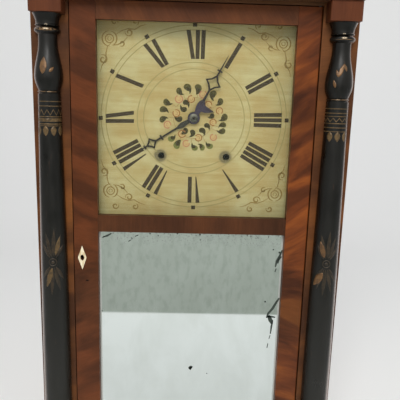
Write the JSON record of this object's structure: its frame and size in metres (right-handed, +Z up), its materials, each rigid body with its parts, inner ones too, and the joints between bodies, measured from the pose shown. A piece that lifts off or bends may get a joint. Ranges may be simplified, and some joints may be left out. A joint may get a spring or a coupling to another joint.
{
  "type": "weight-driven shelf clock",
  "caption": "Tall shelf clock in mahogany veneer with ebonised half columns, painted dial, looking-glass door and wooden weight-driven movement.",
  "frame": {"origin": "middle of the footprint, on the surface the clock stands on", "axes": "+Z up; -Y is the front, towards the viewer; +X is the viewer's right"},
  "size_m": [0.462, 0.142, 0.7668],
  "materials": {
    "mahogany": "satin",
    "crotch_mahogany": "satin",
    "ebonised": "gloss",
    "pine": "matte",
    "cherry": "matte",
    "oak": "matte",
    "dial_paint": "satin",
    "brass": "satin",
    "steel": "satin",
    "blued_steel": "satin",
    "iron": "matte",
    "bone": "satin",
    "cord": "matte",
    "silvered_glass": "gloss",
    "clear_glass": "gloss"
  },
  "bodies": {
    "case": {"base_board": "mahogany", "side_left": "mahogany", "side_right": "mahogany", "backboard": "pine", "stile_left": "mahogany", "stile_right": "mahogany", "block_top_left": "mahogany", "block_top_right": "mahogany", "block_bottom_left": "mahogany", "block_bottom_right": "mahogany", "column_left": "ebonised", "column_right": "ebonised", "cornice_board": "mahogany", "rail_left": "pine", "rail_right": "pine", "plate_front": "oak", "plate_back": "oak", "dial_board": "dial_paint", "hinge_pin_upper": "steel", "hinge_pin_lower": "steel", "bell": "iron", "time_cord_run": "cord", "time_cord_hang": "cord", "strike_cord_run": "cord", "strike_cord_hang": "cord"},
    "door": {"door_stile_left": "crotch_mahogany", "door_stile_right": "crotch_mahogany", "door_rail_top": "crotch_mahogany", "door_rail_middle": "crotch_mahogany", "door_rail_bottom": "crotch_mahogany", "dial_glass": "clear_glass", "mirror": "silvered_glass", "mirror_back": "pine", "escutcheon": "bone", "lock_case": "brass"},
    "bolt": {"lock_bolt": "steel"},
    "minute_arbor": {"centre_wheel": "cherry", "minute_hand": "blued_steel", "hand_washer": "brass"},
    "hour_pipe": {"hour_wheel": "cherry", "hour_hand": "blued_steel"},
    "motion_wheel": {"minute_wheel": "cherry"},
    "time_great": {"time_great_wheel": "cherry"},
    "time_third": {"third_wheel": "cherry"},
    "time_escape": {"escape_wheel": "cherry"},
    "pendulum": {"pendulum_rod": "steel", "pendulum_bob": "brass"},
    "verge_and_crutch": {"verge": "steel"},
    "strike_pins": {"strike_pin_wheel": "cherry"},
    "strike_great": {"strike_great_wheel": "cherry"},
    "strike_locking": {"strike_locking_wheel": "cherry"},
    "fly": {"strike_fly": "cherry"},
    "count": {"count_wheel": "cherry"},
    "hammer_arbor": {"hammer": "iron"},
    "time_weight_body": {"time_weight": "iron"},
    "time_drum_body": {"time_drum": "cherry"},
    "time_pulley_body": {"time_pulley": "cherry"},
    "strike_weight_body": {"strike_weight": "iron"},
    "strike_drum_body": {"strike_drum": "cherry"},
    "strike_pulley_body": {"strike_pulley": "cherry"}
  },
  "joints": [
    {"name": "door_hinge", "type": "hinge", "parent": "case", "child": "door", "pos_m": [0.1646, -0.0375, 0.3844], "axis": [0, 0, 1], "range_deg": [0, 95]},
    {"name": "lock_bolt_throw", "type": "slide", "parent": "door", "child": "bolt", "axis": [-1, 0, 0], "range_m": [0, 0.007]},
    {"name": "minute_arbor_turn", "type": "hinge", "parent": "case", "child": "minute_arbor", "pos_m": [0, 0.019, 0.5902], "axis": [0, 1, 0], "continuous": true},
    {"name": "hour_pipe_turn", "type": "hinge", "parent": "case", "child": "hour_pipe", "pos_m": [0, -0.003, 0.5902], "axis": [0, 1, 0], "continuous": true},
    {"name": "minute_wheel_turn", "type": "hinge", "parent": "case", "child": "motion_wheel", "pos_m": [0.012, 0.002, 0.56942], "axis": [0, 1, 0], "continuous": true},
    {"name": "time_great_turn", "type": "hinge", "parent": "case", "child": "time_great", "pos_m": [0.0471, 0.026, 0.5352], "axis": [0, 1, 0], "continuous": true},
    {"name": "third_turn", "type": "hinge", "parent": "case", "child": "time_third", "pos_m": [0.00483, 0.039, 0.6295], "axis": [0, 1, 0], "continuous": true},
    {"name": "escape_turn", "type": "hinge", "parent": "case", "child": "time_escape", "pos_m": [-0.02606, 0.019, 0.63824], "axis": [0, 1, 0], "continuous": true},
    {"name": "pendulum_swing", "type": "hinge", "parent": "case", "child": "pendulum", "pos_m": [-0.02606, 0.005, 0.66324], "axis": [0, 1, 0], "range_deg": [-4, 4]},
    {"name": "verge_rock", "type": "hinge", "parent": "case", "child": "verge_and_crutch", "pos_m": [-0.02606, 0.008, 0.66324], "axis": [0, 1, 0], "range_deg": [-4, 4]},
    {"name": "pin_wheel_turn", "type": "hinge", "parent": "case", "child": "strike_pins", "pos_m": [-0.06997, 0.039, 0.58632], "axis": [0, 1, 0], "continuous": true},
    {"name": "strike_great_turn", "type": "hinge", "parent": "case", "child": "strike_great", "pos_m": [-0.0471, 0.049, 0.5352], "axis": [0, 1, 0], "continuous": true},
    {"name": "locking_turn", "type": "hinge", "parent": "case", "child": "strike_locking", "pos_m": [-0.06434, 0.034, 0.61823], "axis": [0, 1, 0], "continuous": true},
    {"name": "fly_turn", "type": "hinge", "parent": "case", "child": "fly", "pos_m": [-0.0515, 0.039, 0.64047], "axis": [0, 1, 0], "continuous": true},
    {"name": "count_turn", "type": "hinge", "parent": "case", "child": "count", "pos_m": [-0.07594, 0.009, 0.6202], "axis": [0, 1, 0], "continuous": true},
    {"name": "hammer_lift", "type": "hinge", "parent": "case", "child": "hammer_arbor", "pos_m": [-0.098, 0.039, 0.5482], "axis": [0, 1, 0], "range_deg": [0, 5]},
    {"name": "time_weight_travel", "type": "slide", "parent": "case", "child": "time_weight_body", "axis": [0, 0, 1], "range_m": [0, 0.5], "deforming": ["time_cord_hang"]},
    {"name": "time_drum_turn", "type": "hinge", "parent": "case", "child": "time_drum_body", "pos_m": [0.0471, 0.039, 0.5352], "axis": [0, 1, 0], "range_deg": [0, 2040]},
    {"name": "time_pulley_turn", "type": "hinge", "parent": "case", "child": "time_pulley_body", "pos_m": [0.152, 0.038, 0.7212], "axis": [0, 1, 0], "range_deg": [-1911, 0]},
    {"name": "strike_weight_travel", "type": "slide", "parent": "case", "child": "strike_weight_body", "axis": [0, 0, 1], "range_m": [0, 0.5], "deforming": ["strike_cord_hang"]},
    {"name": "strike_drum_turn", "type": "hinge", "parent": "case", "child": "strike_drum_body", "pos_m": [-0.0471, 0.039, 0.5352], "axis": [0, 1, 0], "range_deg": [-2040, 0]},
    {"name": "strike_pulley_turn", "type": "hinge", "parent": "case", "child": "strike_pulley_body", "pos_m": [-0.152, 0.038, 0.7212], "axis": [0, 1, 0], "range_deg": [0, 1911]}
  ],
  "couplings": [
    {"joint": "hour_pipe_turn", "follows": "minute_arbor_turn", "ratio": 0.083333},
    {"joint": "minute_wheel_turn", "follows": "minute_arbor_turn", "ratio": -0.33333},
    {"joint": "time_great_turn", "follows": "minute_arbor_turn", "ratio": -0.18519},
    {"joint": "third_turn", "follows": "minute_arbor_turn", "ratio": -10},
    {"joint": "escape_turn", "follows": "minute_arbor_turn", "ratio": 90},
    {"joint": "verge_rock", "follows": "pendulum_swing", "ratio": 1},
    {"joint": "strike_great_turn", "follows": "pin_wheel_turn", "ratio": -0.18519},
    {"joint": "locking_turn", "follows": "pin_wheel_turn", "ratio": -8},
    {"joint": "fly_turn", "follows": "pin_wheel_turn", "ratio": 56},
    {"joint": "count_turn", "follows": "pin_wheel_turn", "ratio": -0.10256},
    {"joint": "time_drum_turn", "follows": "time_weight_travel", "rad_per_m": 71.174},
    {"joint": "time_pulley_turn", "follows": "time_weight_travel", "rad_per_m": -66.667},
    {"joint": "strike_drum_turn", "follows": "strike_weight_travel", "rad_per_m": -71.174},
    {"joint": "strike_pulley_turn", "follows": "strike_weight_travel", "rad_per_m": 66.667}
  ]
}
